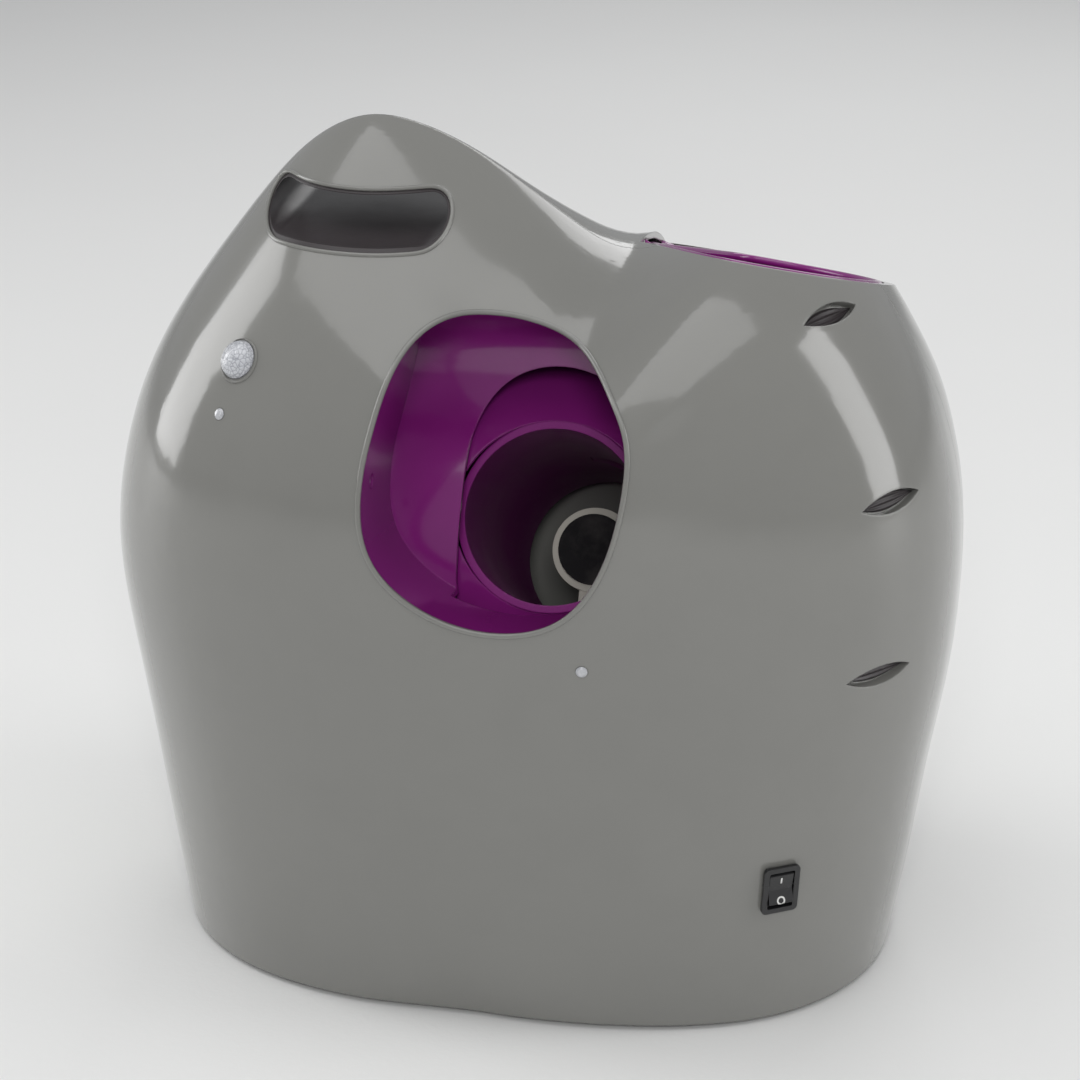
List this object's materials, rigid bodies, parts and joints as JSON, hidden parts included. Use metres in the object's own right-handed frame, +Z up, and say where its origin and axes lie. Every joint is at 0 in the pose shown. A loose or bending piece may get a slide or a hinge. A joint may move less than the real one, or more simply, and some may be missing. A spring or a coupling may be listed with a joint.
{
  "type": "automatic ball launcher",
  "caption": "Standing ball launcher for dogs with a carry slot in its raised end, open ball bucket, egg-shaped portal, tilting tube with spring hammer, control knobs and battery base.",
  "frame": {"origin": "middle of the body at floor level, under the feet", "axes": "+Z up, +Y towards the rear face with the distance dial, +X towards the ball bucket; the portal faces -Y"},
  "size_m": [0.34, 0.2338, 0.3403],
  "materials": {
    "body": "glossy moulded mid grey",
    "underside": "fine textured dark grey",
    "dark_trim": "satin black",
    "purple": "glossy purple",
    "lens": "milky clear lens",
    "lamp": "clear lamp",
    "inner_plastic": "plain moulded",
    "rubber": "soft black",
    "steel": "ground",
    "cell_wrap": "plain dark wrap",
    "contact_metal": "nickel plated",
    "circuit_board": "green laminate",
    "switch_black": "semi-gloss black",
    "motor_can": "drawn steel can",
    "gear_plastic": "natural acetal",
    "brass": "machined",
    "lime": "glossy lime green"
  },
  "bodies": {
    "casing": {"front_shell": "body", "rear_shell": "body", "base_plate": "underside", "handle_liner": "dark_trim", "portal_liner": "purple", "ball_bucket": "purple", "front_sensor_lens": "lens", "rear_sensor_lens": "lens", "ready_lamp": "lamp", "status_lamp": "lamp", "beam_sensors": "lens", "frame_plate": "inner_plastic", "shaft_bush": "inner_plastic", "rubber_feet": "rubber", "case_screws": "steel", "door_hinge_pins": "steel", "battery_tray": "dark_trim", "battery_cells": "cell_wrap", "battery_contacts": "contact_metal", "speaker": "dark_trim", "control_board": "circuit_board", "switch_housing": "switch_black", "dial_encoder": "dark_trim", "power_inlet": "switch_black", "gate_pin": "steel"},
    "barrel": {"launch_tube": "purple", "mouth_shroud": "purple", "tilt_sector": "gear_plastic", "trunnion_pin": "steel", "hammer_shaft": "steel", "drive_motor": "motor_can"},
    "striker": {"hammer": "gear_plastic", "hammer_pad": "rubber", "hammer_spring": "steel"},
    "drive_train": {"strike_pinion": "brass", "reduction_wheel": "gear_plastic", "pinion_shaft": "steel"},
    "motor_rotor": {"motor_pinion": "brass"},
    "angle_control": {"angle_knob": "lime", "angle_shaft": "steel", "tilt_pinion": "gear_plastic"},
    "distance_control": {"distance_dial": "lime"},
    "rocker": {"power_rocker": "switch_black"},
    "gate": {"ball_gate": "purple"},
    "door": {"battery_door": "underside"}
  },
  "joints": [
    {"name": "barrel_tilt", "type": "hinge", "parent": "casing", "child": "barrel", "pos_m": [0.0145, 0.02, 0.158], "axis": [-1, 0, 0], "range_deg": [-4, 7.5]},
    {"name": "hammer_swing", "type": "hinge", "parent": "barrel", "child": "striker", "pos_m": [0.0145, 0.01931, 0.08681], "axis": [-1, 0, 0], "range_deg": [0, 45], "deforming": ["hammer_spring"]},
    {"name": "drive_spin", "type": "hinge", "parent": "barrel", "child": "drive_train", "pos_m": [0.0145, -0.01819, 0.08681], "axis": [-1, 0, 0], "range_deg": [-180, 0]},
    {"name": "motor_spin", "type": "hinge", "parent": "barrel", "child": "motor_rotor", "pos_m": [0.0145, -0.03734, 0.10288], "axis": [-1, 0, 0], "range_deg": [0, 720]},
    {"name": "angle_knob_turn", "type": "hinge", "parent": "casing", "child": "angle_control", "pos_m": [-0.15, 0, 0.09615], "axis": [1, 0, 0], "range_deg": [-48, 90]},
    {"name": "distance_dial_turn", "type": "hinge", "parent": "casing", "child": "distance_control", "pos_m": [0.095, 0.10292, 0.16], "axis": [0.3246, 0.9449, -0.0416], "range_deg": [-120, 120]},
    {"name": "power_rocker_tip", "type": "hinge", "parent": "casing", "child": "rocker", "pos_m": [0.10971, -0.08493, 0.06626], "axis": [0.8542, 0.5199, 0], "range_deg": [0, 12]},
    {"name": "ball_gate_swing", "type": "hinge", "parent": "casing", "child": "gate", "pos_m": [0.077, 0.02, 0.201], "axis": [0, -1, 0], "range_deg": [0, 60]},
    {"name": "battery_door_swing", "type": "hinge", "parent": "casing", "child": "door", "pos_m": [0, 0.039, 0.00775], "axis": [1, 0, 0], "range_deg": [0, 95]}
  ],
  "couplings": [
    {"joint": "drive_spin", "follows": "hammer_swing", "ratio": -4},
    {"joint": "motor_spin", "follows": "hammer_swing", "ratio": 16},
    {"joint": "angle_knob_turn", "follows": "barrel_tilt", "ratio": 12}
  ]
}
